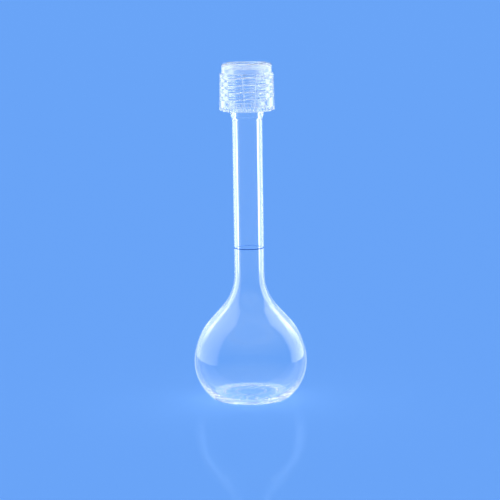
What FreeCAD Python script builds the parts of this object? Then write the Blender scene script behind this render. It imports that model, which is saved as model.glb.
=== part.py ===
import FreeCAD, Part
import Sketcher
import math
import os

# A 50 ml volumetric flask with a GL 18 screw cap. Millimetres and degrees.
# The origin is the centre of the circle the flask stands on, and +Z runs up its axis of revolution.

SIZES = [
    # the bulb: a foot, a corner, two arcs that meet at the girth, a straight cone and a throat arc
    ("bulb_radius", 24.25),
    ("girth_height", 16.25),
    ("lower_arc", 19.9),
    ("upper_arc", 27.1),
    ("corner_arc", 2.7),
    ("cone_angle", 42.3),
    ("throat_arc", 21.6),
    ("neck_radius", 6.375),
    # the walls: thinnest at the girth, thicker towards the shoulder and the foot, as blown bulbs are
    ("bulb_wall", 1.12),
    ("wall_growth", 2.0),
    ("neck_wall", 1.1),
    ("floor_thickness", 2.05),
    ("inner_corner_arc", 2.5),
    # the underside: a standing ring round a shallow push-up that holds one raised ring
    ("foot_inner_radius", 12.2),
    ("push_up_radius", 11.4),
    ("push_up_height", 0.6),
    ("foot_ring_radius", 6.5),
    ("foot_ring_width", 0.7),
    ("foot_ring_height", 0.3),
    # the volume mark
    ("mark_height", 65.8),
    ("mark_width", 0.36),
    ("mark_thickness", 0.08),
    # the mouth: a collar, the threaded finish and its wider bore
    ("collar_radius", 7.05),
    ("collar_low", 121.4),
    ("collar_high", 122.6),
    ("finish_low", 124.8),
    ("finish_high", 125.6),
    ("finish_radius", 7.85),
    ("rim_height", 142.4),
    ("rim_round", 0.5),
    ("mouth_bore_radius", 6.3),
    ("bore_cone_low", 120.6),
    ("bore_cone_high", 124.0),
    # the GL 18 thread
    ("thread_pitch", 3.0),
    ("thread_turns", 4.0),
    ("neck_thread_radius", 8.8),
    ("neck_thread_start", 126.75),
    ("neck_thread_root_width", 1.8),
    ("neck_thread_crest_width", 0.8),
    ("cap_thread_radius", 8.15),
    ("cap_thread_root_width", 1.9),
    ("cap_thread_crest_width", 0.7),
    ("cap_thread_drop", 1.75),
    ("thread_sink", 0.15),
    # the cap
    ("cap_bottom", 124.65),
    ("cap_height", 20.35),
    ("cap_low_radius", 10.95),
    ("cap_high_radius", 10.7),
    ("cap_top_round", 1.5),
    ("cap_dish_radius", 8.4),
    ("cap_dish_depth", 0.35),
    ("cap_inner_radius", 9.75),
    ("cap_mouth_chamfer", 0.5),
    ("cap_top_thickness", 1.4),
    # its grip panels and toothed flange
    ("panel_count", 3),
    ("panel_turn", 6.0),
    ("panel_low_radius", 11.8),
    ("panel_high_radius", 11.48),
    ("panel_top", 16.1),
    ("panel_edge_round", 0.45),
    ("panel_corner_round", 1.6),
    ("gap_low_half_width", 2.15),
    ("gap_high_half_width", 2.95),
    ("flange_height", 1.6),
    ("flange_radius", 11.4),
    ("flange_bevel", 0.4),
    ("tooth_count", 36),
    ("tooth_radius", 11.85),
    ("tooth_half_width", 0.5),
    ("tooth_tip_half_width", 0.28),
    # the sealing disc
    ("disc_radius", 9.5),
    ("disc_round", 0.15),
]

ORIGIN = (-1, 1)
H_AXIS = -1
V_AXIS = -2


def make_sheet(doc):
    """The driving dimensions, one row each: the name and its value."""
    sheet = doc.addObject("Spreadsheet::Sheet", "Sizes")
    for row, (alias, value) in enumerate(SIZES, start=1):
        sheet.set(f"A{row}", alias)
        sheet.set(f"B{row}", str(value))
        sheet.setAlias(f"B{row}", alias)
    doc.recompute()
    return sheet


def new_body(doc, name, height=None):
    """A body named for its sub-part, raised to a height that is bound to the sheet."""
    body = doc.addObject("PartDesign::Body", name)
    body.Label = name
    if height:
        body.setExpression("Placement.Base.z", height)
    return body


def new_sketch(body, name, role="XZ_Plane", lift=None):
    """A sketch on one of the body's own origin planes."""
    plane = next(f for f in body.Origin.OriginFeatures if f.Role == role)
    sketch = body.newObject("Sketcher::SketchObject", name)
    sketch.AttachmentSupport = [(plane, "")]
    sketch.MapMode = "FlatFace"
    if lift:
        sketch.setExpression("AttachmentOffset.Base.z", lift)
    return sketch


def value_of(sketch, coordinate):
    """A bound coordinate's value from the sheet, or a free coordinate's starting value."""
    if isinstance(coordinate, str):
        return float(sketch.evalExpression(coordinate))
    return float(coordinate)


def arc_between(start, end, radius, left):
    """The short arc from start to end that turns left or right, and whether it is drawn from its end."""
    chord = end - start
    half = chord.Length / 2
    side = FreeCAD.Vector(-chord.y, chord.x, 0).normalize() * (1 if left else -1)
    centre = (start + end) * 0.5 + side * math.sqrt(radius ** 2 - half ** 2)
    first = math.atan2(start.y - centre.y, start.x - centre.x)
    last = math.atan2(end.y - centre.y, end.x - centre.x)
    circle = Part.Circle(centre, FreeCAD.Vector(0, 0, 1), radius)
    if left:
        return Part.ArcOfCircle(circle, first, last), (1, 2)
    return Part.ArcOfCircle(circle, last, first), (2, 1)


def bind(sketch, constraint, expression):
    index = sketch.addConstraint(constraint)
    sketch.setExpression(f"Constraints[{index}]", expression)


def place_point(sketch, point, x, y):
    """Hold a point at each of its bound coordinates."""
    geometry, end = point
    for kind, coordinate, axis in (("DistanceX", x, V_AXIS), ("DistanceY", y, H_AXIS)):
        if not isinstance(coordinate, str):
            continue
        value = value_of(sketch, coordinate)
        if coordinate == "0":
            sketch.addConstraint(Sketcher.Constraint("PointOnObject", geometry, end, axis))
        else:
            bind(sketch, Sketcher.Constraint(kind, *ORIGIN, geometry, end, value), coordinate)


def draw(sketch, corners, bends=None, smooth=()):
    """A closed outline through the corners.

    A corner's coordinates are sheet expressions, or numbers where tangency settles them. bends gives the
    radius and the side, left or right, of each stretch that is an arc, by the corner it starts from.
    smooth lists the corners that the outline passes without a kink.
    """
    bends = bends or {}
    points = [FreeCAD.Vector(value_of(sketch, x), value_of(sketch, y), 0) for x, y in corners]
    stretches = []
    for i, start in enumerate(points):
        end = points[(i + 1) % len(points)]
        if i in bends:
            radius, side = bends[i]
            shape, ends = arc_between(start, end, value_of(sketch, radius), side == "left")
        else:
            shape, ends = Part.LineSegment(start, end), (1, 2)
        stretches.append((sketch.addGeometry(shape, False), ends))
    for i, (geometry, ends) in enumerate(stretches):
        before, before_ends = stretches[i - 1]
        kind = "Tangent" if i in smooth else "Coincident"
        sketch.addConstraint(Sketcher.Constraint(kind, before, before_ends[1], geometry, ends[0]))
        place_point(sketch, (geometry, ends[0]), *corners[i])
        if i in bends:
            radius = bends[i][0]
            bind(sketch, Sketcher.Constraint("Radius", geometry, value_of(sketch, radius)), radius)
    return [geometry for geometry, _ in stretches]


def revolve(body, kind, name, sketch):
    """A Revolution or a Groove of the sketch about the body's Z axis."""
    feature = body.newObject(f"PartDesign::{kind}", name)
    feature.Profile = sketch
    feature.ReferenceAxis = (sketch, ["V_Axis"])
    feature.Angle = 360.0
    return feature


def vessel_wall(sketch, low, high, size, angle):
    """The outline of a bulb and its neck, from the floor up to the neck, closed through low and high.

    low holds the corners from the axis to the floor's edge, high those from the neck's top back to the
    axis. size names the expressions of the floor height, girth radius and arcs. Both arcs of the bulb
    are upright at the girth, the cone touches the upper arc and the throat arc, and the throat arc runs
    out straight up the neck.
    """
    floor, girth = value_of(sketch, size["floor"]), value_of(sketch, size["girth"])
    lower, upper = value_of(sketch, size["lower"]), value_of(sketch, size["upper"])
    corner, throat = value_of(sketch, size["corner"]), value_of(sketch, size["throat"])
    neck, girth_height = value_of(sketch, size["neck"]), value_of(sketch, "Sizes.girth_height")

    # the corner arc lies on the floor and inside the lower arc
    drop = girth_height - floor - corner
    reach = math.sqrt((lower - corner) ** 2 - drop ** 2)
    corner_x = girth - lower + reach
    meet = corner / (lower - corner)
    turn_in = (corner_x + reach * meet, floor + corner - drop * meet)

    # the cone leaves the upper arc at the cone angle and meets the throat arc at the same angle
    cos_a, sin_a = math.cos(angle), math.sin(angle)
    shoulder = (girth - upper + upper * cos_a, girth_height + upper * sin_a)
    throat_x = neck + throat - throat * cos_a
    rise = (shoulder[0] - throat_x) / math.tan(angle)
    throat_start = (throat_x, shoulder[1] + rise)
    neck_start = throat_start[1] + throat * sin_a

    first = len(low)
    corners = low + [
        (corner_x, size["floor"]),
        turn_in,
        (size["girth"], "Sizes.girth_height"),
        shoulder,
        throat_start,
        (size["neck"], neck_start),
    ] + high["corners"]
    bends = {
        first: (size["corner"], "left"),
        first + 1: (size["lower"], "left"),
        first + 2: (size["upper"], "left"),
        first + 4: (size["throat"], "right"),
    }
    for offset, bend in high.get("bends", {}).items():
        bends[first + 6 + offset] = bend
    smooth = set(range(first, first + 6))
    lines = draw(sketch, corners, bends, smooth)
    centre = (lines[first + 1], 3)
    bind(sketch, Sketcher.Constraint("DistanceY", *ORIGIN, *centre, girth_height), "Sizes.girth_height")
    cone_turn = Sketcher.Constraint("Angle", lines[first + 3], math.pi / 2 + angle)
    bind(sketch, cone_turn, "90 + Sizes.cone_angle")


def add_thread(body, name, root, crest, root_width, crest_width, start):
    """One right-handed helical ridge between a root radius and a crest radius, starting at a height."""
    sketch = new_sketch(body, f"{name}Section")
    draw(sketch, [
        (root, f"{start} - {root_width} / 2"),
        (crest, f"{start} - {crest_width} / 2"),
        (crest, f"{start} + {crest_width} / 2"),
        (root, f"{start} + {root_width} / 2"),
    ])
    ridge = body.newObject("PartDesign::AdditiveHelix", name)
    ridge.Profile = sketch
    ridge.ReferenceAxis = (sketch, ["V_Axis"])
    ridge.Mode = "pitch-turns-angle"
    ridge.setExpression("Pitch", "Sizes.thread_pitch")
    ridge.setExpression("Turns", "Sizes.thread_turns")
    return ridge


def flask_body(doc):
    """The clear moulding: bulb, neck, collar and threaded mouth, hollowed from the mouth down."""
    body = new_body(doc, "flask_body")
    angle = math.radians(float(doc.Sizes.cone_angle))
    outside = new_sketch(body, "OutsideOutline")
    ring_in = "Sizes.foot_ring_radius - Sizes.foot_ring_width / 2"
    ring_out = "Sizes.foot_ring_radius + Sizes.foot_ring_width / 2"
    ring_low = "Sizes.push_up_height - Sizes.foot_ring_height"
    underside = [
        ("0", "Sizes.push_up_height"),
        (ring_in, "Sizes.push_up_height"),
        (ring_in, ring_low),
        (ring_out, ring_low),
        (ring_out, "Sizes.push_up_height"),
        ("Sizes.push_up_radius", "Sizes.push_up_height"),
        ("Sizes.foot_inner_radius", "0"),
    ]
    mouth = [
        ("Sizes.neck_radius", "Sizes.collar_low"),
        ("Sizes.collar_radius", "Sizes.collar_high"),
        ("Sizes.collar_radius", "Sizes.finish_low"),
        ("Sizes.finish_radius", "Sizes.finish_high"),
        ("Sizes.finish_radius", "Sizes.rim_height - Sizes.rim_round"),
        ("Sizes.finish_radius - Sizes.rim_round", "Sizes.rim_height"),
        ("0", "Sizes.rim_height"),
    ]
    vessel_wall(outside, underside, {"corners": mouth, "bends": {4: ("Sizes.rim_round", "left")}}, {
        "floor": "0",
        "girth": "Sizes.bulb_radius",
        "lower": "Sizes.lower_arc",
        "upper": "Sizes.upper_arc",
        "corner": "Sizes.corner_arc",
        "throat": "Sizes.throat_arc",
        "neck": "Sizes.neck_radius",
    }, angle)
    revolve(body, "Revolution", "Outside", outside)
    doc.recompute()

    add_thread(
        body, "NeckThread", "Sizes.finish_radius - Sizes.thread_sink", "Sizes.neck_thread_radius",
        "Sizes.neck_thread_root_width", "Sizes.neck_thread_crest_width", "Sizes.neck_thread_start")
    doc.recompute()

    inside = new_sketch(body, "InsideOutline")
    bore = [
        ("Sizes.neck_radius - Sizes.neck_wall", "Sizes.bore_cone_low"),
        ("Sizes.mouth_bore_radius", "Sizes.bore_cone_high"),
        ("Sizes.mouth_bore_radius", "Sizes.rim_height + 1"),
        ("0", "Sizes.rim_height + 1"),
    ]
    vessel_wall(inside, [("0", "Sizes.floor_thickness")], {"corners": bore}, {
        "floor": "Sizes.floor_thickness",
        "girth": "Sizes.bulb_radius - Sizes.bulb_wall",
        "lower": "Sizes.lower_arc - Sizes.bulb_wall - Sizes.wall_growth",
        "upper": "Sizes.upper_arc - Sizes.bulb_wall - Sizes.wall_growth",
        "corner": "Sizes.inner_corner_arc",
        "throat": "Sizes.throat_arc + Sizes.neck_wall",
        "neck": "Sizes.neck_radius - Sizes.neck_wall",
    }, angle)
    revolve(body, "Groove", "Hollow", inside)
    return body


def ring_mark(doc):
    """The printed band round the neck at the height of the nominal volume."""
    body = new_body(doc, "ring_mark", "Sizes.mark_height")
    sketch = new_sketch(body, "BandSection")
    inner, outer = "Sizes.neck_radius", "Sizes.neck_radius + Sizes.mark_thickness"
    low, high = "-Sizes.mark_width / 2", "Sizes.mark_width / 2"
    draw(sketch, [(inner, low), (outer, low), (outer, high), (inner, high)])
    revolve(body, "Revolution", "Band", sketch)
    return body


def sealing_disc(doc):
    """The loose disc between the rim and the cap's top plate."""
    body = new_body(doc, "sealing_disc", "Sizes.rim_height")
    sketch = new_sketch(body, "DiscSection")
    top = "Sizes.cap_bottom + Sizes.cap_height - Sizes.cap_top_thickness - Sizes.rim_height"
    edge = "Sizes.disc_radius - Sizes.disc_round"
    draw(sketch, [
        ("0", "0"),
        (edge, "0"),
        ("Sizes.disc_radius", "Sizes.disc_round"),
        ("Sizes.disc_radius", f"{top} - Sizes.disc_round"),
        (edge, top),
        ("0", top),
    ], {1: ("Sizes.disc_round", "left"), 3: ("Sizes.disc_round", "left")})
    revolve(body, "Revolution", "Disc", sketch)
    return body


def repeat(body, name, feature, count):
    """Copies of a feature spread evenly about the body's Z axis."""
    pattern = body.newObject("PartDesign::PolarPattern", name)
    pattern.Originals = [feature]
    axis = next(f for f in body.Origin.OriginFeatures if f.Role == "Z_Axis")
    pattern.Axis = (axis, [""])
    pattern.Angle = 360
    pattern.setExpression("Occurrences", count)
    body.Tip = pattern
    return pattern


def grip_panels(doc, body):
    """The raised panels: a tapered ring with one slot cut for each gap between two panels."""
    ring = new_sketch(body, "PanelSection")
    top_low = "Sizes.panel_top - Sizes.panel_edge_round"
    draw(ring, [
        ("Sizes.cap_inner_radius + 0.3", "Sizes.flange_height / 2"),
        ("Sizes.panel_low_radius", "Sizes.flange_height / 2"),
        ("Sizes.panel_high_radius", top_low),
        ("Sizes.panel_high_radius - Sizes.panel_edge_round", "Sizes.panel_top"),
        ("Sizes.cap_inner_radius + 0.3", "Sizes.panel_top"),
    ], {2: ("Sizes.panel_edge_round", "left")})
    revolve(body, "Revolution", "PanelRing", ring)
    doc.recompute()

    # a gap narrows downwards, and its upper corners flare out round the panels' rounded corners
    gap = new_sketch(body, "GapOutline")
    low, high = "Sizes.gap_low_half_width", "Sizes.gap_high_half_width"
    flare = "Sizes.gap_high_half_width + Sizes.panel_corner_round"
    corner = "Sizes.panel_top - Sizes.panel_corner_round"
    draw(gap, [
        (f"-{low}", "0"),
        (low, "0"),
        (high, corner),
        (flare, "Sizes.panel_top"),
        (flare, "Sizes.panel_top + 1"),
        (f"-({flare})", "Sizes.panel_top + 1"),
        (f"-({flare})", "Sizes.panel_top"),
        (f"-{high}", corner),
    ], {2: ("Sizes.panel_corner_round", "right"), 6: ("Sizes.panel_corner_round", "right")})
    slot = body.newObject("PartDesign::Pocket", "Gap")
    slot.Profile = gap
    slot.Type = "ThroughAll"
    slot.Reversed = True
    doc.recompute()
    repeat(body, "Gaps", slot, "Sizes.panel_count")


def toothed_flange(doc, body):
    """The ring of teeth round the cap's lower edge."""
    tooth = new_sketch(body, "ToothOutline", "XY_Plane", "Sizes.flange_bevel")
    root = "Sizes.flange_radius - 0.3"
    wide, narrow = "Sizes.tooth_half_width", "Sizes.tooth_tip_half_width"
    draw(tooth, [
        (root, f"-{wide}"),
        ("Sizes.tooth_radius", f"-{narrow}"),
        ("Sizes.tooth_radius", narrow),
        (root, wide),
    ])
    pad = body.newObject("PartDesign::Pad", "Tooth")
    pad.Profile = tooth
    pad.setExpression("Length", "Sizes.flange_height - Sizes.flange_bevel")
    doc.recompute()
    repeat(body, "Teeth", pad, "Sizes.tooth_count")


def screw_cap(doc):
    """The cap: a tapered shell with a dished top, grip panels, a toothed flange and an inner thread."""
    body = new_body(doc, "screw_cap", "Sizes.cap_bottom")
    grip_panels(doc, body)

    shell = new_sketch(body, "ShellSection")
    dish_floor = "Sizes.cap_height - Sizes.cap_dish_depth"
    ceiling = "Sizes.cap_height - Sizes.cap_top_thickness"
    draw(shell, [
        ("0", ceiling),
        ("Sizes.cap_inner_radius", ceiling),
        ("Sizes.cap_inner_radius", "Sizes.cap_mouth_chamfer"),
        ("Sizes.cap_inner_radius + Sizes.cap_mouth_chamfer", "0"),
        ("Sizes.flange_radius - Sizes.flange_bevel", "0"),
        ("Sizes.flange_radius", "Sizes.flange_bevel"),
        ("Sizes.flange_radius", "Sizes.flange_height"),
        ("Sizes.cap_low_radius", "Sizes.flange_height"),
        ("Sizes.cap_high_radius", "Sizes.cap_height - Sizes.cap_top_round"),
        ("Sizes.cap_high_radius - Sizes.cap_top_round", "Sizes.cap_height"),
        ("Sizes.cap_dish_radius + Sizes.cap_dish_depth", "Sizes.cap_height"),
        ("Sizes.cap_dish_radius", dish_floor),
        ("0", dish_floor),
    ], {8: ("Sizes.cap_top_round", "left")})
    revolve(body, "Revolution", "Shell", shell)
    doc.recompute()

    toothed_flange(doc, body)
    doc.recompute()

    add_thread(
        body, "CapThread", "Sizes.cap_inner_radius + Sizes.thread_sink", "Sizes.cap_thread_radius",
        "Sizes.cap_thread_root_width", "Sizes.cap_thread_crest_width",
        "Sizes.neck_thread_start + Sizes.cap_thread_drop - Sizes.cap_bottom")
    body.setExpression("Placement.Rotation.Angle", "Sizes.panel_turn")
    return body


def check(doc, bodies):
    """Stop if a feature failed, a sketch is loose or a sub-part is not one valid solid."""
    for item in doc.Objects:
        if "Invalid" in item.State or "Error" in item.State:
            raise RuntimeError(f"{item.Label} failed: {item.State}")
        if item.TypeId == "Sketcher::SketchObject" and not item.FullyConstrained:
            raise RuntimeError(f"{item.Label} is not fully constrained")
    for body in bodies:
        shape = body.Shape
        if shape.isNull() or not shape.isValid() or len(shape.Solids) != 1:
            raise RuntimeError(f"{body.Label} is not one valid solid")


def main():
    doc = FreeCAD.newDocument("VolumetricFlask")
    make_sheet(doc)
    bodies = [make(doc) for make in (flask_body, ring_mark, sealing_disc, screw_cap)]
    doc.recompute()
    check(doc, bodies)
    os.makedirs("parts", exist_ok=True)
    for body in bodies:
        body.Shape.exportStep(f"parts/{body.Label}.step")
        print(f"{body.Label}: {body.Shape.Volume / 1000:.3f} ml of material")


main()
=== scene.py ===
import math
import bpy
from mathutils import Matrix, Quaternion, Vector, noise


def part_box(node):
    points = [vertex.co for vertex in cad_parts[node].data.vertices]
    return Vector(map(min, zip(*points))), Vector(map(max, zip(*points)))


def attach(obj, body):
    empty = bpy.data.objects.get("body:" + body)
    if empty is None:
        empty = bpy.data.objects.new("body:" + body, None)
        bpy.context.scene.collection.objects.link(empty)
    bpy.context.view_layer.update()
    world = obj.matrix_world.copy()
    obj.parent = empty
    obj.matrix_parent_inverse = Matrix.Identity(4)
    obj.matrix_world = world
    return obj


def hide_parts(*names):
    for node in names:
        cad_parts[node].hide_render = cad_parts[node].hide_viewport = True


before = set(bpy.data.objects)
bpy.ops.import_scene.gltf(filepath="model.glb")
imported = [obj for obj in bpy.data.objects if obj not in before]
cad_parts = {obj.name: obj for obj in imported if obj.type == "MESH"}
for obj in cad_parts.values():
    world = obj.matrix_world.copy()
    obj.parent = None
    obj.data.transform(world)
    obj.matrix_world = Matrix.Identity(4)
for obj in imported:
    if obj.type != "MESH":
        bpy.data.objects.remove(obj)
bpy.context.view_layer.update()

# Shapes are worked out in millimetres and written in metres.
MM = 0.001
flask_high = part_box("flask_body")[1]
cap_low, cap_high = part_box("screw_cap")
mark_low, mark_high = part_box("ring_mark")
disc_low, disc_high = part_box("sealing_disc")

# the bulb and the neck, as in the CAD frame
BULB_RADIUS = flask_high[0] / MM
RIM_HEIGHT = flask_high[2] / MM
GIRTH_HEIGHT = 16.25
CONE_ANGLE = 42.3
NECK_RADIUS = 6.375
NECK_WALL = 1.1
BULB_WALL = 1.12
FLOOR_THICKNESS = 2.05
OUTER_ARCS = {"lower": 19.9, "upper": 27.1, "corner": 2.7, "throat": 21.6}
INNER_ARCS = {"lower": 16.78, "upper": 23.98, "corner": 2.5, "throat": 22.7}
BORE_RADIUS = NECK_RADIUS - NECK_WALL

# a moulded wall's slow unevenness: its depth, its stretch upwards and its rate round the flask
WALL_WAVE = 0.01
WALL_WAVE_STRETCH = 14
WALL_WAVE_RATE = 1.3

# the underside
PUSH_UP_HEIGHT = 0.6
PUSH_UP_RADIUS = 11.4
PUSH_UP_ROUND = 0.8
FOOT_INNER_RADIUS = 12.2
FOOT_INNER_ROUND = 0.5
FOOT_RING_RADIUS = 6.5
FOOT_RING_HALF_WIDTH = 0.35
FOOT_RING_LOW = 0.3
FOOT_RING_SLOPE = 0.08
FOOT_RING_ROUND = 0.1

# the mouth: a collar, the threaded finish, the rim and the cone that widens the bore
COLLAR_RADIUS = 7.05
COLLAR_LOW = 121.4
COLLAR_LOW_ROUND = 3.0
COLLAR_HIGH = 122.6
COLLAR_HIGH_ROUND = 1.5
FINISH_RADIUS = 7.85
FINISH_LOW = 124.8
FINISH_LOW_ROUND = 0.5
FINISH_HIGH = 125.6
FINISH_HIGH_ROUND = 0.3
FINISH_WALL_LOW = FINISH_HIGH + 0.5
FINISH_WALL_HIGH = RIM_HEIGHT - 1.0
RIM_ROUND = 0.5
MOUTH_BORE_RADIUS = 6.3
BORE_CONE_LOW = 120.6
BORE_CONE_HIGH = 124.0
BORE_CONE_ROUND = 1.2

# the thread, on the neck and in the cap
THREAD_PITCH = 3.0
THREAD_TURNS = 4.0
THREAD_FADE = 0.07
NECK_THREAD = {"start": 126.75, "root": 1.8, "crest": 0.8, "height": 0.95, "turn": 0.0}
CAP_THREAD = {"start": 128.5, "root": 1.9, "crest": 0.7, "height": -1.6, "turn": math.radians(6)}

# the printed band stands a hair's breadth off the neck, so that the two surfaces never coincide
MARK_PLAY = 0.004
MARK_ROUND = 0.03

# the cap; heights are above its lower edge
CAP_BOTTOM = cap_low[2] / MM
CAP_HEIGHT = (cap_high[2] - cap_low[2]) / MM
CAP_TURN = math.radians(276)
CAP_LOW_RADIUS = 10.95
CAP_HIGH_RADIUS = 10.7
CAP_INNER_RADIUS = 9.75
CAP_TOP_THICKNESS = 1.4
CAP_TOP_ROUND = 1.5
CEILING_ROUND = 0.3
CEILING_WALL = 1.0
DISH_RADIUS = 8.4
DISH_DEPTH = 0.35
DISH_EDGE_ROUND = 0.15
DISH_FLOOR_ROUND = 0.3
DISH_FLOOR_EDGE = 1.5
DISH_FLOOR_RADII = (5.0, 3.0, 1.0)
MOUTH_CHAMFER = 0.5
MOUTH_WALL = 0.2
MOUTH_ROUND = 0.15
PANEL_COUNT = 3
PANEL_BOTTOM = 0.8
PANEL_TOP = 16.1
PANEL_LOW_RADIUS = 11.8
PANEL_HIGH_RADIUS = 11.48
PANEL_EDGE_ROUND = 0.45
PANEL_CORNER_ROUND = 1.6
PANEL_SIDE_ROUND = 0.22
SIDE_ROUND_SHARE = 0.4
GAP_LOW_HALF_WIDTH = 2.15
GAP_HIGH_HALF_WIDTH = 2.95
FLANGE_HEIGHT = 1.6
FLANGE_RADIUS = 11.4
FLANGE_BEVEL = 0.4
FLANGE_ROUND = 0.1
TOOTH_COUNT = 36
TOOTH_HEIGHT = 0.43
TOOTH_ROOT = 1.0
TOOTH_TIP = 0.56
# the flange's rings: the height, how far in, and the share of the teeth's height
FLANGE_RINGS = (
    (FLANGE_BEVEL, 0, 0.75),
    (0.55, 0, 1),
    (1.35, 0, 1),
    (1.5, 0.02, 0.9),
    (1.58, 0.1, 0.6),
)
# where the wall's rings set in: over the flange, over the panels, and further up the shell
WALL_START = 0.05
CROWN_START = 0.03
CROWN_RISES = (0.2, 1.5)
# how far beside a gap's edge its rounded side sets in: in the gap, and on the panel
SIDE_IN_GAP = 0.7
SIDE_ON_PANEL = 0.9
# the edges that get a painted highlight, milkier plastic that stands in for the light they catch: how
# wide they are, and how strong the teeth's are
EDGE_WIDTH = 0.2
EDGE_CLEARANCE = 0.02
TOOTH_EDGE_HIGHLIGHT = 0.6

# the disc lies a little free of the rim and of the cap, and the rim has pressed a groove into it
DISC_PLAY = 0.03
DISC_ROUND = 0.2
GROOVE_DEPTH = 0.06
GROOVE_SLOPE = 0.25

# how finely each surface is divided
FLASK_COLUMNS = 192
ARC_STEP = 2.0
CORNER_ARC_STEP = 6
CROWN_ARC_STEP = 8
LONGEST_STRETCH = 1.5
LONGEST_FOOT_STRETCH = 1.0
LONGEST_CEILING_STRETCH = 2.0
FLOOR_RADII = range(12, -1, -2)
THREAD_ROW = 0.16
WALL_FOOT_ROW = 0.2
WALL_ROWS = 10
PANEL_CORNER_ROWS = 12
ROUND_STEPS = 4
GAP_STEPS = 6
PANEL_STEPS = 39
HALF_SECTOR = GAP_STEPS + 2 * (ROUND_STEPS + 1) + PANEL_STEPS - 1
CAP_COLUMNS = 2 * PANEL_COUNT * HALF_SECTOR

# The camera stands in front of the flask, on the -Y side, and looks a little down at it.
CAMERA_DISTANCE = 0.8385
CAMERA_HEIGHT = 0.1931
CAMERA_SIDE = 0.00041
CAMERA_TILT = math.radians(8.71)
CAMERA_ROLL = math.radians(0.823)
CAMERA_LENS = 142.16
CAMERA_CLIP = 0.01
SENSOR_WIDTH = 36.0

# The materials. Heights and radii are in metres, from where a change starts to where it ends.
WHITE = (1.0, 1.0, 1.0, 1.0)
BUMP_HEIGHT = 0.00001
UPRIGHT_STRETCH = (1, 1, 0.1)
FOOT_FADE_HEIGHTS = (0.0005, 0.0010)
FOOT_ROUGHNESS = 0.01
STREAK_RADII = (0.0052, 0.0118)
STREAK_RANGE = (0.48, 0.58)
OUTWARD_DRIFT = (40, 40, 0)
STREAK_FROST = 0.35
STANDING_RADII = (0.0119, 0.0124)
STANDING_FROST = 0.12
CLEAR_ROUGHNESS = (0.012, 0.04)
NECK_HEIGHTS = (0.040, 0.060)
NECK_CLEARNESS = 0.99
TOP_HAZE_HEIGHTS = (0.1385, 0.1405)
TOP_HAZE = 0.12
SMEAR_LEAST = 0.7
SMEAR_MOST = 1.4
# how much milkier the edges are made: a painted highlight along the gap sides and teeth
EDGE_HIGHLIGHT_MILKINESS = 0.6
INK_THIN = (0.01, 0.07, 0.30, 1.0)
INK_THICK = (0.03, 0.16, 0.50, 1.0)
INK_BACK = (0.12, 0.34, 0.85, 1.0)
INK_BACK_RADII = (0.00639, 0.00643)

# The stage is in metres. The floor lies just under the flask's foot, so that the two never coincide.
FLOOR_COLOR = (0.28, 0.532, 0.948)
FLOOR_HALF = 60.0
FLOOR_LOW = 0.00004
HORIZON_COLOR = (0.14, 0.37, 0.93)
ZENITH_COLOR = (0.62, 0.80, 1.0)
SKY_FADE = (0.1, 0.8)
LAMP_DISTANCE = 0.17
LAMP_HEIGHT = 0.5
LAMP_EDGE_LIGHT = 0.1
SHORTEST_RISE = 0.001
TABLE_LAMP_NEAR = 0.016
TABLE_LAMP_FAR = 0.17
TABLE_LAMP_DEPTH = 0.16
TABLE_LAMP_BACK = 0.045
TABLE_LAMP_HEIGHT = 0.0002
FACE_UP = (0, 1, 0, 0)
# Light runs a long way inside a clear wall: with few bounces the flask's limbs turn dark.
LIGHT_BOUNCES = 64


# ---- outlines: lists of (radius, height) ----

def arc(centre, radius, first, last, step=ARC_STEP):
    """An arc about a centre, from one angle to another in degrees."""
    count = max(2, math.ceil(abs(last - first) / step))
    turns = [math.radians(first + (last - first) * i / count) for i in range(count + 1)]
    return [(centre[0] + radius * math.cos(t), centre[1] + radius * math.sin(t)) for t in turns]


def rounded(corners):
    """An open outline through corners (x, y, rounding), with an arc at each inner corner."""
    points = [corners[0][:2]]
    for before, here, after in zip(corners, corners[1:], corners[2:]):
        corner = Vector(here[:2])
        back = (Vector(before[:2]) - corner).normalized()
        ahead = (Vector(after[:2]) - corner).normalized()
        half = back.angle(ahead) / 2
        centre = corner + (back + ahead).normalized() * here[2] / math.sin(half)
        start = corner + back * here[2] / math.tan(half) - centre
        end = corner + ahead * here[2] / math.tan(half) - centre
        for i in range(ROUND_STEPS + 1):
            spoke = start.slerp(end, i / ROUND_STEPS).normalized()
            points.append((centre + spoke * here[2])[:])
    points.append(corners[-1][:2])
    return points


def refined(points, longest):
    """The same outline with no stretch longer than a length."""
    result = [points[0]]
    for start, end in zip(points, points[1:]):
        count = max(1, math.ceil(math.dist(start, end) / longest))
        for i in range(1, count + 1):
            share = i / count
            result.append(tuple(a + (b - a) * share for a, b in zip(start, end)))
    return result


def bulb_wall(floor, girth, neck, arcs):
    """A bulb's wall from the edge of its floor to the foot of the neck: arcs and a cone that touch."""
    lower, upper, corner, throat = (arcs[k] for k in ("lower", "upper", "corner", "throat"))
    drop = GIRTH_HEIGHT - floor - corner
    reach = math.sqrt((lower - corner) ** 2 - drop ** 2)
    meet = -math.degrees(math.atan2(drop, reach))
    cone = math.radians(CONE_ANGLE)
    shoulder_radius = girth - upper + upper * math.cos(cone)
    throat_radius = neck + throat - throat * math.cos(cone)
    rise = (shoulder_radius - throat_radius) / math.tan(cone)
    neck_start = GIRTH_HEIGHT + upper * math.sin(cone) + rise + throat * math.sin(cone)
    wall = arc((girth - lower + reach, floor + corner), corner, -90, meet, CORNER_ARC_STEP)
    wall += arc((girth - lower, GIRTH_HEIGHT), lower, meet, 0)[1:]
    wall += arc((girth - upper, GIRTH_HEIGHT), upper, 0, CONE_ANGLE)[1:]
    wall += arc((neck + throat, neck_start), throat, 180 + CONE_ANGLE, 180)
    return wall


# ---- relief: how far a surface stands out at an angle and a height ----

def ease(t):
    """A soft step from 0 to 1."""
    t = min(1.0, max(0.0, t))
    return t * t * (3 - 2 * t)


def ridge(distance, root, crest):
    """From 0 to 1 up a rounded ridge, by the distance from its middle line."""
    return ease((root / 2 - abs(distance)) / ((root - crest) / 2))


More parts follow.
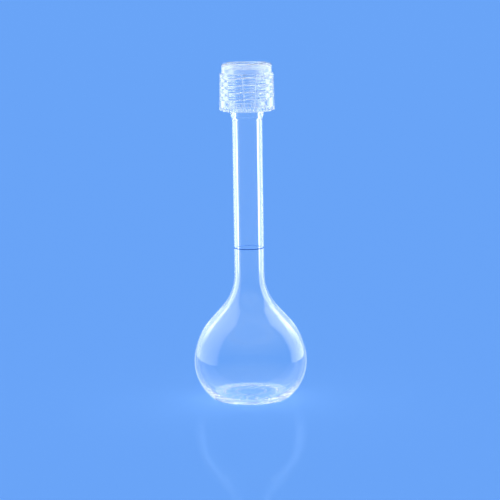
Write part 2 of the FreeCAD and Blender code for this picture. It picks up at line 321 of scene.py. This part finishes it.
def thread(shape):
    """The relief of one helical ridge."""
    def relief(angle, height):
        turn = (angle - shape["turn"]) % math.tau / math.tau
        climbed = (height - shape["start"]) / THREAD_PITCH - turn
        lap = round(climbed)
        along = lap + turn
        ends = ease(min(along, THREAD_TURNS - along) / THREAD_FADE)
        rise = ridge((climbed - lap) * THREAD_PITCH, shape["root"], shape["crest"])
        return shape["height"] * ends * rise
    return relief


def waviness(angle, height):
    """The slow unevenness of a moulded wall, always inwards."""
    spot = Vector((math.cos(angle), math.sin(angle), height / WALL_WAVE_STRETCH)) * WALL_WAVE_RATE
    return -WALL_WAVE * (0.5 + 0.5 * noise.noise(spot))


# ---- meshes ----

def ring(radius, height, columns, first=0.0, relief=None):
    """One ring of a surface of revolution, or a single point on the axis."""
    if radius == 0:
        return [(0.0, 0.0, height)]
    points = []
    for i in range(columns):
        angle = first + math.tau * i / columns
        r = radius + (relief(angle, height) if relief else 0)
        points.append((r * math.cos(angle), r * math.sin(angle), height))
    return points


def rings(outline, columns, first=0.0, relief=None, lift=0.0):
    """A ring for each point of an outline, all raised by a height."""
    return [ring(r, z + lift, columns, first, relief) for r, z in outline]


def skin(name, stack, closed=False):
    """A smooth mesh over a stack of rings; closed joins the last ring to the first."""
    points, starts = [], []
    for loop in stack:
        starts.append(len(points))
        points += loop
    pairs = list(zip(range(len(stack)), range(1, len(stack))))
    if closed:
        pairs.append((len(stack) - 1, 0))
    faces = []
    for below, above in pairs:
        low, high = starts[below], starts[above]
        count = max(len(stack[below]), len(stack[above]))
        for i in range(count):
            after = (i + 1) % count
            if len(stack[below]) == 1:
                faces.append((low, high + after, high + i))
            elif len(stack[above]) == 1:
                faces.append((low + i, low + after, high))
            else:
                faces.append((low + i, low + after, high + after, high + i))
    mesh = bpy.data.meshes.new(name)
    mesh.from_pydata([tuple(c * MM for c in p) for p in points], [], faces)
    mesh.polygons.foreach_set("use_smooth", [True] * len(faces))
    mesh.update()
    piece = bpy.data.objects.new(name, mesh)
    bpy.context.scene.collection.objects.link(piece)
    return piece


def flask_mesh():
    """The clear moulding: from the middle of the underside up the outside, and down the bore."""
    ring_in = FOOT_RING_RADIUS - FOOT_RING_HALF_WIDTH
    ring_out = FOOT_RING_RADIUS + FOOT_RING_HALF_WIDTH
    outside = bulb_wall(0, BULB_RADIUS, NECK_RADIUS, OUTER_ARCS)
    inside = bulb_wall(FLOOR_THICKNESS, BULB_RADIUS - BULB_WALL, BORE_RADIUS, INNER_ARCS)
    underside = rounded([
        (0, PUSH_UP_HEIGHT, 0),
        (ring_in, PUSH_UP_HEIGHT, FOOT_RING_ROUND),
        (ring_in + FOOT_RING_SLOPE, FOOT_RING_LOW, FOOT_RING_ROUND),
        (ring_out - FOOT_RING_SLOPE, FOOT_RING_LOW, FOOT_RING_ROUND),
        (ring_out, PUSH_UP_HEIGHT, FOOT_RING_ROUND),
        (PUSH_UP_RADIUS, PUSH_UP_HEIGHT, PUSH_UP_ROUND),
        (FOOT_INNER_RADIUS, 0, FOOT_INNER_ROUND),
        (*outside[0], 0),
    ])
    collar = rounded([
        (*outside[-1], 0),
        (NECK_RADIUS, COLLAR_LOW, COLLAR_LOW_ROUND),
        (COLLAR_RADIUS, COLLAR_HIGH, COLLAR_HIGH_ROUND),
        (COLLAR_RADIUS, FINISH_LOW, FINISH_LOW_ROUND),
        (FINISH_RADIUS, FINISH_HIGH, FINISH_HIGH_ROUND),
        (FINISH_RADIUS, FINISH_WALL_LOW, 0),
    ])
    finish = [(FINISH_RADIUS, FINISH_WALL_LOW), (FINISH_RADIUS, FINISH_WALL_HIGH)]
    lip = rounded([
        (FINISH_RADIUS, FINISH_WALL_HIGH, 0),
        (FINISH_RADIUS, RIM_HEIGHT, RIM_ROUND),
        (MOUTH_BORE_RADIUS, RIM_HEIGHT, RIM_ROUND),
        (MOUTH_BORE_RADIUS, BORE_CONE_HIGH, BORE_CONE_ROUND),
        (BORE_RADIUS, BORE_CONE_LOW, BORE_CONE_ROUND),
        (*inside[-1], 0),
    ])
    stack = rings(refined(underside, LONGEST_FOOT_STRETCH)[:-1], FLASK_COLUMNS)
    for wall in (outside, collar):
        stack += rings(refined(wall, LONGEST_STRETCH)[:-1], FLASK_COLUMNS, relief=waviness)
    stack += rings(refined(finish, THREAD_ROW)[:-1], FLASK_COLUMNS, relief=thread(NECK_THREAD))
    stack += rings(refined(lip, LONGEST_STRETCH)[:-1], FLASK_COLUMNS)
    stack += rings(refined(inside[::-1], LONGEST_STRETCH), FLASK_COLUMNS, relief=waviness)
    stack += rings([(r, FLOOR_THICKNESS) for r in FLOOR_RADII], FLASK_COLUMNS)
    return skin("flask_moulding", stack)


def mark_mesh():
    """The printed band round the neck, with soft edges."""
    inner = NECK_RADIUS + MARK_PLAY
    outer = mark_high[0] / MM
    half = (mark_high[2] - mark_low[2]) / MM / 2
    middle = (mark_high[2] + mark_low[2]) / MM / 2
    section = rounded([
        (inner, middle, 0),
        (inner, middle - half, MARK_ROUND),
        (outer, middle - half, MARK_ROUND),
        (outer, middle + half, MARK_ROUND),
        (inner, middle + half, MARK_ROUND),
        (inner, middle, 0),
    ])
    return skin("volume_mark", rings(section[:-1], FLASK_COLUMNS), closed=True)


def disc_mesh():
    """The sealing disc, with soft edges and the rim's shallow groove."""
    bottom, top = disc_low[2] / MM + DISC_PLAY, disc_high[2] / MM - DISC_PLAY
    radius = disc_high[0] / MM
    outline = rounded([
        (0, bottom, 0),
        (MOUTH_BORE_RADIUS, bottom, DISC_ROUND),
        (MOUTH_BORE_RADIUS + GROOVE_SLOPE, bottom + GROOVE_DEPTH, DISC_ROUND),
        (FINISH_RADIUS - GROOVE_SLOPE, bottom + GROOVE_DEPTH, DISC_ROUND),
        (FINISH_RADIUS, bottom, DISC_ROUND),
        (radius, bottom, DISC_ROUND),
        (radius, top, DISC_ROUND),
        (0, top, 0),
    ])
    return skin("sealing_liner", rings(refined(outline, LONGEST_STRETCH), CAP_COLUMNS // 2))


def shell_radius(z):
    """The radius of the tapered shell between the panels."""
    share = (z - FLANGE_HEIGHT) / (CAP_HEIGHT - CAP_TOP_ROUND - FLANGE_HEIGHT)
    return CAP_LOW_RADIUS + (CAP_HIGH_RADIUS - CAP_LOW_RADIUS) * share


def panel_radius(z):
    """A grip panel's taper, and the rounding of its top edge."""
    edge = PANEL_TOP - PANEL_EDGE_ROUND
    share = (min(z, edge) - PANEL_BOTTOM) / (edge - PANEL_BOTTOM)
    radius = PANEL_LOW_RADIUS + (PANEL_HIGH_RADIUS - PANEL_LOW_RADIUS) * share
    if z > edge:
        across = math.sqrt(max(0.0, PANEL_EDGE_ROUND ** 2 - (z - edge) ** 2))
        radius -= PANEL_EDGE_ROUND - across
    return radius


def gap_half_width(z):
    """A gap widens upwards, and flares round the panels' upper corners."""
    corner = PANEL_TOP - PANEL_CORNER_ROUND
    share = (min(z, corner) - FLANGE_HEIGHT) / (corner - FLANGE_HEIGHT)
    width = GAP_LOW_HALF_WIDTH + (GAP_HIGH_HALF_WIDTH - GAP_LOW_HALF_WIDTH) * share
    if z > corner:
        across = math.sqrt(max(0.0, PANEL_CORNER_ROUND ** 2 - (z - corner) ** 2))
        width += PANEL_CORNER_ROUND - across
    return width


def half_sector(z):
    """The outline at a height from the middle of a gap to the middle of a panel, as (angle, radius)."""
    shell, panel, width = shell_radius(z), panel_radius(z), gap_half_width(z)
    blend = min(PANEL_SIDE_ROUND, SIDE_ROUND_SHARE * (panel - shell))
    foot_angle = math.asin((width - SIDE_IN_GAP) / shell)
    top_angle = math.asin((width + SIDE_ON_PANEL) / panel)
    points = [(foot_angle * i / (GAP_STEPS - 1), shell) for i in range(GAP_STEPS)]
    side = rounded([
        (shell * math.sin(foot_angle), shell * math.cos(foot_angle), 0),
        (width, math.sqrt(shell ** 2 - width ** 2), blend),
        (width, math.sqrt(panel ** 2 - width ** 2), blend),
        (panel * math.sin(top_angle), panel * math.cos(top_angle), 0),
    ])
    points += [(math.atan2(x, y), math.hypot(x, y)) for x, y in side[1:-1]]
    middle = math.pi / PANEL_COUNT
    step = (middle - top_angle) / (PANEL_STEPS - 1)
    points += [(top_angle + step * i, panel) for i in range(PANEL_STEPS)]
    return points


def sector_ring(half, z):
    """The half outline mirrored and repeated right round the cap."""
    sector = math.tau / PANEL_COUNT
    points = []
    for k in range(PANEL_COUNT):
        spokes = [(sector * k + a, r) for a, r in half[:-1]]
        spokes += [(sector * (k + 1) - a, r) for a, r in half[:0:-1]]
        for a, r in spokes:
            points.append((r * math.cos(CAP_TURN + a), r * math.sin(CAP_TURN + a), z + CAP_BOTTOM))
    return points


def teeth(share):
    """The relief of the flange's teeth, at a share of their full height."""
    def relief(angle, height):
        pitch = math.tau / TOOTH_COUNT
        off = (angle - CAP_TURN + pitch / 2) % pitch - pitch / 2
        return share * TOOTH_HEIGHT * ridge(off * FLANGE_RADIUS, TOOTH_ROOT, TOOTH_TIP)
    return relief


def edge_highlight_share(point):
    """How much a point of the cap lies on an edge with a painted highlight: a gap's side or a tooth."""
    radius, z = math.hypot(point.x, point.y), point.z - CAP_BOTTOM
    if z < FLANGE_HEIGHT:
        return TOOTH_EDGE_HIGHLIGHT * ease((radius - FLANGE_RADIUS) / TOOTH_HEIGHT)
    if z > PANEL_TOP or radius < shell_radius(z) + EDGE_CLEARANCE:
        return 0.0
    sector = math.tau / PANEL_COUNT
    angle = (math.atan2(point.y, point.x) - CAP_TURN) % sector
    across = radius * math.sin(min(angle, sector - angle))
    aside = abs(across - gap_half_width(z))
    return ease((2 * EDGE_WIDTH - aside) / EDGE_WIDTH)


def cap_inside():
    """The cap's rings from the middle of its ceiling, down the thread, to its lower edge."""
    ceiling = CAP_HEIGHT - CAP_TOP_THICKNESS
    thread_high, thread_low = ceiling - CEILING_WALL, MOUTH_CHAMFER + MOUTH_WALL
    top = rounded([
        (0, ceiling, 0),
        (CAP_INNER_RADIUS, ceiling, CEILING_ROUND),
        (CAP_INNER_RADIUS, thread_high, 0),
    ])
    bore = [(CAP_INNER_RADIUS, thread_high), (CAP_INNER_RADIUS, thread_low)]
    mouth = rounded([
        (CAP_INNER_RADIUS, thread_low, 0),
        (CAP_INNER_RADIUS, MOUTH_CHAMFER, MOUTH_ROUND),
        (CAP_INNER_RADIUS + MOUTH_CHAMFER, 0, MOUTH_ROUND),
        (FLANGE_RADIUS - FLANGE_BEVEL, 0, FLANGE_ROUND),
        (FLANGE_RADIUS - FLANGE_ROUND, FLANGE_BEVEL - FLANGE_ROUND, 0),
    ])
    place = {"columns": CAP_COLUMNS, "first": CAP_TURN, "lift": CAP_BOTTOM}
    stack = rings(refined(top, LONGEST_CEILING_STRETCH)[:-1], **place)
    stack += rings(refined(bore, THREAD_ROW)[:-1], relief=thread(CAP_THREAD), **place)
    return stack + rings(mouth, **place)


def panel_wall():
    """The cap's rings up its panels and gaps, and the angles of their columns at the panels' top."""
    foot, corner = FLANGE_HEIGHT + WALL_START, PANEL_TOP - PANEL_CORNER_ROUND
    low = 2 * WALL_FOOT_ROW
    climb = corner - foot - low
    quarter = math.pi / 2 / PANEL_CORNER_ROWS
    heights = [foot, foot + WALL_FOOT_ROW]
    heights += [foot + low + climb * i / WALL_ROWS for i in range(WALL_ROWS + 1)]
    heights += [
        corner + PANEL_CORNER_ROUND * math.sin(quarter * i) for i in range(1, PANEL_CORNER_ROWS + 1)]
    halves = [half_sector(z) for z in heights]
    return [sector_ring(half, z) for half, z in zip(halves, heights)], [a for a, _ in halves[-1]]


def crown_outline():
    """The round outline above the panels: the shell, the rounded top edge and the dish."""
    top_edge, dish = CAP_HEIGHT - CAP_TOP_ROUND, CAP_HEIGHT - DISH_DEPTH
    shoulder = CAP_HIGH_RADIUS - CAP_TOP_ROUND
    crown = [(shell_radius(PANEL_TOP), PANEL_TOP + CROWN_START)]
    crown += [(shell_radius(PANEL_TOP + rise), PANEL_TOP + rise) for rise in CROWN_RISES]
    crown += arc((shoulder, top_edge), CAP_TOP_ROUND, 0, 90, CROWN_ARC_STEP)
    crown += rounded([
        (shoulder, CAP_HEIGHT, 0),
        (DISH_RADIUS + DISH_DEPTH, CAP_HEIGHT, DISH_EDGE_ROUND),
        (DISH_RADIUS, dish, DISH_FLOOR_ROUND),
        (DISH_RADIUS - DISH_FLOOR_EDGE, dish, 0),
    ])[1:]
    return crown + [(r, dish) for r in DISH_FLOOR_RADII]


def cap_mesh():
    """The cap: out from the middle of its ceiling, down the thread, and up the outside to the dish."""
    stack = cap_inside()
    for z, inset, share in FLANGE_RINGS:
        teeth_here = teeth(share)
        stack.append(ring(FLANGE_RADIUS - inset, z + CAP_BOTTOM, CAP_COLUMNS, CAP_TURN, teeth_here))
    wall, angles = panel_wall()
    crown = crown_outline()
    stack += wall
    stack += [sector_ring([(a, r) for a in angles], z) for r, z in crown]
    stack.append([(0.0, 0.0, crown[-1][1] + CAP_BOTTOM)])
    cap = skin("ribbed_cap", stack)
    # the edge attribute marks where the painted highlight goes, along the gap sides and teeth
    edge = cap.data.attributes.new("edge", "FLOAT", "POINT")
    for share, vertex in zip(edge.data, cap.data.vertices):
        share.value = edge_highlight_share(vertex.co / MM)
    return cap


# ---- materials ----

class Nodes:
    """A material's node tree with short helpers."""

    def __init__(self, name):
        self.material = bpy.data.materials.new(name)
        self.material.use_nodes = True
        self.tree = self.material.node_tree
        self.tree.nodes.clear()
        output = self.add("ShaderNodeOutputMaterial")
        self.shader = self.add("ShaderNodeBsdfPrincipled")
        self.link(self.shader.outputs["BSDF"], output.inputs["Surface"])
        self.place = self.add("ShaderNodeTexCoord").outputs["Object"]

    def add(self, kind, **settings):
        node = self.tree.nodes.new(kind)
        for key, value in settings.items():
            setattr(node, key, value)
        return node

    def link(self, source, target):
        self.tree.links.new(source, target)

    def set(self, **values):
        """Values on the shader's own sockets; an underscore stands for a space."""
        for key, value in values.items():
            self.shader.inputs[key.replace("_", " ")].default_value = value

    def noise(self, scale, detail=2.0, stretch=(1, 1, 1)):
        """Noise with features about 1/scale metres across, longer where the stretch is below 1."""
        mapping = self.add("ShaderNodeMapping")
        mapping.inputs["Scale"].default_value = stretch
        self.link(self.place, mapping.inputs["Vector"])
        pattern = self.add("ShaderNodeTexNoise")
        pattern.inputs["Scale"].default_value = scale
        pattern.inputs["Detail"].default_value = detail
        self.link(mapping.outputs["Vector"], pattern.inputs["Vector"])
        return pattern.outputs["Fac"]

    def flat(self):
        """The place with its height left out."""
        flat = self.add("ShaderNodeVectorMath", operation="MULTIPLY")
        flat.inputs[1].default_value = (1, 1, 0)
        self.link(self.place, flat.inputs[0])
        return flat.outputs["Vector"]

    def height(self):
        """How high a point is above the table."""
        place = self.add("ShaderNodeSeparateXYZ")
        self.link(self.place, place.inputs["Vector"])
        return place.outputs["Z"]

    def radius(self):
        """How far a point is from the axis."""
        length = self.add("ShaderNodeVectorMath", operation="LENGTH")
        self.link(self.flat(), length.inputs[0])
        return length.outputs["Value"]

    def rays(self, scale, detail):
        """Noise that hardly changes outwards, so that it runs out from the axis in streaks."""
        spoke = self.add("ShaderNodeVectorMath", operation="NORMALIZE")
        self.link(self.flat(), spoke.inputs[0])
        drift = self.add("ShaderNodeVectorMath", operation="MULTIPLY_ADD")
        drift.inputs[1].default_value = OUTWARD_DRIFT
        self.link(self.place, drift.inputs[0])
        self.link(spoke.outputs["Vector"], drift.inputs[2])
        pattern = self.add("ShaderNodeTexNoise")
        pattern.inputs["Scale"].default_value = scale
        pattern.inputs["Detail"].default_value = detail
        self.link(drift.outputs["Vector"], pattern.inputs["Vector"])
        return pattern.outputs["Fac"]

    def spread(self, value, low, high, first=0.3, last=0.7):
        """From low to high while the value goes from first to last, which by default suit a noise."""
        node = self.add("ShaderNodeMapRange")
        ends = {"From Min": first, "From Max": last, "To Min": low, "To Max": high}
        for socket, number in ends.items():
            node.inputs[socket].default_value = number
        self.link(value, node.inputs["Value"])
        return node.outputs["Result"]

    def math(self, operation, first, second):
        """Two outputs put together."""
        node = self.add("ShaderNodeMath", operation=operation)
        self.link(first, node.inputs[0])
        self.link(second, node.inputs[1])
        return node.outputs["Value"]

    def mix(self, color, share):
        """A mix that starts from a colour and goes over to its input B."""
        node = self.add("ShaderNodeMix", data_type="RGBA")
        node.inputs["A"].default_value = color
        self.link(share, node.inputs["Factor"])
        return node

    def bump(self, height, strength):
        node = self.add("ShaderNodeBump")
        node.inputs["Strength"].default_value = strength
        node.inputs["Distance"].default_value = BUMP_HEIGHT
        self.link(height, node.inputs["Height"])
        self.link(node.outputs["Normal"], self.shader.inputs["Normal"])


def clear_plastic():
    """Clear glossy polymethylpentene, with an underside frosted in streaks and where it stands."""
    nodes = Nodes("clear_plastic")
    nodes.set(Base_Color=WHITE, IOR=1.463)
    nodes.set(Sheen_Weight=0.25, Sheen_Roughness=0.25)
    foot = nodes.spread(nodes.height(), 1.0, 0.0, *FOOT_FADE_HEIGHTS)
    streaks = nodes.spread(nodes.rays(scale=6, detail=4), 0.0, 1.0, *STREAK_RANGE)
    outward = nodes.spread(nodes.radius(), 0.0, STREAK_FROST, *STREAK_RADII)
    standing = nodes.spread(nodes.radius(), 0.0, STANDING_FROST, *STANDING_RADII)
    marks = nodes.math("MAXIMUM", nodes.math("MULTIPLY", streaks, outward), standing)
    frost = nodes.math("MULTIPLY", foot, marks)
    neck = nodes.spread(nodes.height(), 1.0, NECK_CLEARNESS, *NECK_HEIGHTS)
    nodes.link(nodes.math("SUBTRACT", neck, frost), nodes.shader.inputs["Transmission Weight"])
    rough_foot = nodes.spread(nodes.height(), FOOT_ROUGHNESS, 0.0, *FOOT_FADE_HEIGHTS)
    smears = nodes.spread(nodes.noise(scale=90, detail=3), *CLEAR_ROUGHNESS)
    nodes.link(nodes.math("ADD", rough_foot, smears), nodes.shader.inputs["Roughness"])
    nodes.bump(nodes.noise(scale=120, detail=2, stretch=UPRIGHT_STRETCH), strength=0.3)
    return nodes.material


def milky_plastic(name, clearness, roughness):
    """Translucent polypropylene with a satin skin, milkier in the cap's top, and milkier on its edges
    as a painted highlight.
    """
    nodes = Nodes(name)
    nodes.set(Base_Color=WHITE, IOR=1.49)
    edge = nodes.add("ShaderNodeAttribute", attribute_name="edge").outputs["Fac"]
    # painted highlight: the marked edges lose clearness and show white
    painted_edge_highlights = nodes.spread(edge, clearness, clearness - EDGE_HIGHLIGHT_MILKINESS, 0.0, 1.0)
    haze = nodes.spread(nodes.height(), 0.0, TOP_HAZE, *TOP_HAZE_HEIGHTS)
    nodes.link(nodes.math("SUBTRACT", painted_edge_highlights, haze), nodes.shader.inputs["Transmission Weight"])
    smears = nodes.spread(
        nodes.noise(scale=400, detail=3), roughness * SMEAR_LEAST, roughness * SMEAR_MOST)
    nodes.link(smears, nodes.shader.inputs["Roughness"])
    nodes.bump(nodes.noise(scale=1500, detail=3), strength=0.2)
    return nodes.material


def ink():
    """Printed ink, a little uneven in its cover and paler on the face towards the neck."""
    nodes = Nodes("ink")
    nodes.set(Roughness=0.8, Specular_IOR_Level=0.0)
    cover = nodes.mix(INK_THIN, nodes.spread(nodes.noise(scale=900, detail=3), 0.0, 1.0))
    cover.inputs["B"].default_value = INK_THICK
    face = nodes.mix(INK_BACK, nodes.spread(nodes.radius(), 0.0, 1.0, *INK_BACK_RADII))
    nodes.link(cover.outputs["Result"], face.inputs["B"])
    nodes.link(face.outputs["Result"], nodes.shader.inputs["Base Color"])
    nodes.bump(nodes.noise(scale=4000, detail=2), strength=0.4)
    return nodes.material


def floor_material():
    """A pale, faintly mirroring table top."""
    nodes = Nodes("floor")
    nodes.set(Base_Color=(*FLOOR_COLOR, 1.0), Roughness=0.06, Metallic=0.05, Specular_IOR_Level=0.0)
    return nodes.material


# ---- the stage ----

def add_floor():
    mesh = bpy.data.meshes.new("floor")
    h, z = FLOOR_HALF, -FLOOR_LOW
    mesh.from_pydata([(-h, -h, z), (h, -h, z), (h, h, z), (-h, h, z)], [], [(0, 1, 2, 3)])
    floor = bpy.data.objects.new("floor", mesh)
    bpy.context.scene.collection.objects.link(floor)
    mesh.materials.append(floor_material())


def soften(data, rise):
    """Dim a panel's light towards its upright edges, and at its foot over a share of its height."""
    data.use_nodes = True
    tree = data.node_tree
    across = tree.nodes.new("ShaderNodeSeparateXYZ")
    place = tree.nodes.new("ShaderNodeNewGeometry").outputs["Parametric"]
    tree.links.new(place, across.inputs["Vector"])
    fall = tree.nodes.new("ShaderNodeFloatCurve")
    curve = fall.mapping.curves[0]
    curve.points[0].location = (0.0, LAMP_EDGE_LIGHT)
    curve.points[1].location = (1.0, LAMP_EDGE_LIGHT)
    curve.points.new(0.5, 1.0)
    fall.mapping.update()
    tree.links.new(across.outputs["X"], fall.inputs["Value"])
    foot = tree.nodes.new("ShaderNodeMapRange")
    foot.inputs["From Max"].default_value = max(rise, SHORTEST_RISE)
    foot.interpolation_type = "SMOOTHSTEP"
    tree.links.new(across.outputs["Y"], foot.inputs["Value"])
    both = tree.nodes.new("ShaderNodeMath")
    both.operation = "MULTIPLY"
    tree.links.new(fall.outputs["Value"], both.inputs[0])
    tree.links.new(foot.outputs["Result"], both.inputs[1])
    tree.links.new(both.outputs["Value"], tree.nodes["Emission"].inputs["Strength"])


def add_lamp(name, lit, size, radiance, through):
    """A panel of light that the camera never sees and that lights only the pieces in lit.

    through says whether it also shows in what the clear walls bend, or only in what surfaces reflect.
    """
    data = bpy.data.lights.new(name, "AREA")
    data.shape = "RECTANGLE"
    data.size, data.size_y = size
    data.energy = radiance * math.pi * data.size * data.size_y
    lamp = bpy.data.objects.new(name, data)
    bpy.context.scene.collection.objects.link(lamp)
    lamp.rotation_mode = "QUATERNION"
    lamp.visible_camera = False
    lamp.visible_transmission = through
    lamp.light_linking.receiver_collection = lit
    return lamp


def softbox(name, lit, angles, radiance, through=False, rise=0.0):
    """A standing panel between two angles round the flask, in degrees from the camera's side.

    Its light fades in over a share, rise, of its height.
    """
    first, last = angles
    middle = math.radians((first + last) / 2)
    width = 2 * LAMP_DISTANCE * math.tan(math.radians(abs(last - first) / 2))
    lamp = add_lamp(name, lit, (width, LAMP_HEIGHT), radiance, through)
    soften(lamp.data, rise)
    x, y = math.sin(middle) * LAMP_DISTANCE, -math.cos(middle) * LAMP_DISTANCE
    lamp.location = (x, y, LAMP_HEIGHT / 2)
    lamp.rotation_quaternion = Vector((-x, -y, 0)).to_track_quat("-Z", "Y")


def table_panel(name, lit, side, radiance):
    """A panel lying face up beside the flask, for what the lower half of the bulb reflects."""
    size = (TABLE_LAMP_FAR - TABLE_LAMP_NEAR, TABLE_LAMP_DEPTH)
    lamp = add_lamp(name, lit, size, radiance, False)
    middle = side * (TABLE_LAMP_FAR + TABLE_LAMP_NEAR) / 2
    lamp.location = (middle, TABLE_LAMP_BACK, TABLE_LAMP_HEIGHT)
    lamp.rotation_quaternion = FACE_UP


def add_sky():
    """An even light from all round, deeper blue at the horizon than overhead."""
    world = bpy.data.worlds.new("studio")
    bpy.context.scene.world = world
    world.use_nodes = True
    tree = world.node_tree
    background = tree.nodes["Background"]
    background.inputs["Strength"].default_value = 1.0
    direction = tree.nodes.new("ShaderNodeSeparateXYZ")
    place = tree.nodes.new("ShaderNodeTexCoord").outputs["Generated"]
    tree.links.new(place, direction.inputs["Vector"])
    height = tree.nodes.new("ShaderNodeMapRange")
    height.interpolation_type = "SMOOTHSTEP"
    height.inputs["From Min"].default_value, height.inputs["From Max"].default_value = SKY_FADE
    tree.links.new(direction.outputs["Z"], height.inputs["Value"])
    sky = tree.nodes.new("ShaderNodeMix")
    sky.data_type = "RGBA"
    sky.inputs["A"].default_value = (*HORIZON_COLOR, 1.0)
    sky.inputs["B"].default_value = (*ZENITH_COLOR, 1.0)
    tree.links.new(height.outputs["Result"], sky.inputs["Factor"])
    tree.links.new(sky.outputs["Result"], background.inputs["Color"])


def add_lamps(flask_pieces, cap_pieces):
    """Side and rear panels for the flask and for the cap; the floor gets none of their light."""
    flask, cap = bpy.data.collections.new("lit_flask"), bpy.data.collections.new("lit_cap")
    for group, members in ((flask, flask_pieces), (cap, cap_pieces)):
        for piece in members:
            group.objects.link(piece)
    softbox("left_softbox", flask, (-134, -66), radiance=2.8)
    softbox("right_softbox", flask, (86, 138), radiance=3.6)
    table_panel("left_table_panel", flask, side=-1, radiance=0.6)
    table_panel("right_table_panel", flask, side=1, radiance=0.55)
    softbox("left_cap_softbox", cap, (-140, -76), radiance=1.2)
    softbox("right_cap_softbox", cap, (80, 136), radiance=1.2)
    softbox("left_card", flask, (-158, -122), radiance=0.5, through=True)
    softbox("right_card", flask, (128, 158), radiance=0.32, through=True)
    softbox("left_strip", flask, (-167, -158), radiance=1.7, through=True, rise=0.12)
    softbox("right_strip", flask, (159, 169), radiance=1.6, through=True, rise=0.12)
    softbox("left_cap_card", cap, (-160, -112), radiance=0.75, through=True)
    softbox("right_cap_card", cap, (112, 160), radiance=0.75, through=True)


def add_camera():
    data = bpy.data.cameras.new("camera")
    data.sensor_width = SENSOR_WIDTH
    data.lens = CAMERA_LENS
    data.clip_start = CAMERA_CLIP
    camera = bpy.data.objects.new("camera", data)
    bpy.context.scene.collection.objects.link(camera)
    camera.location = (CAMERA_SIDE, -CAMERA_DISTANCE, CAMERA_HEIGHT)
    look = Quaternion((1, 0, 0), math.pi / 2 - CAMERA_TILT)
    camera.rotation_mode = "QUATERNION"
    camera.rotation_quaternion = Quaternion(look @ Vector((0, 0, -1)), CAMERA_ROLL) @ look
    bpy.context.scene.camera = camera


def add_piece(piece, material, node, body):
    """Give a piece its material, and let it stand for its CAD node on that node's body."""
    piece.data.materials.append(material)
    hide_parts(node)
    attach(piece, body)
    piece.visible_shadow = False
    return piece


liner = milky_plastic("liner", clearness=0.9, roughness=0.2)
natural_pp = milky_plastic("natural_pp", clearness=0.995, roughness=0.05)
pieces = [
    add_piece(flask_mesh(), clear_plastic(), "flask_body", "flask"),
    add_piece(mark_mesh(), ink(), "ring_mark", "flask"),
    add_piece(disc_mesh(), liner, "sealing_disc", "disc"),
    add_piece(cap_mesh(), natural_pp, "screw_cap", "cap"),
]
add_floor()
add_sky()
add_lamps(pieces[:2], pieces[2:])
add_camera()
scene = bpy.context.scene
scene.view_settings.view_transform = "Standard"
scene.cycles.max_bounces = LIGHT_BOUNCES
scene.cycles.glossy_bounces = LIGHT_BOUNCES
scene.cycles.transmission_bounces = LIGHT_BOUNCES
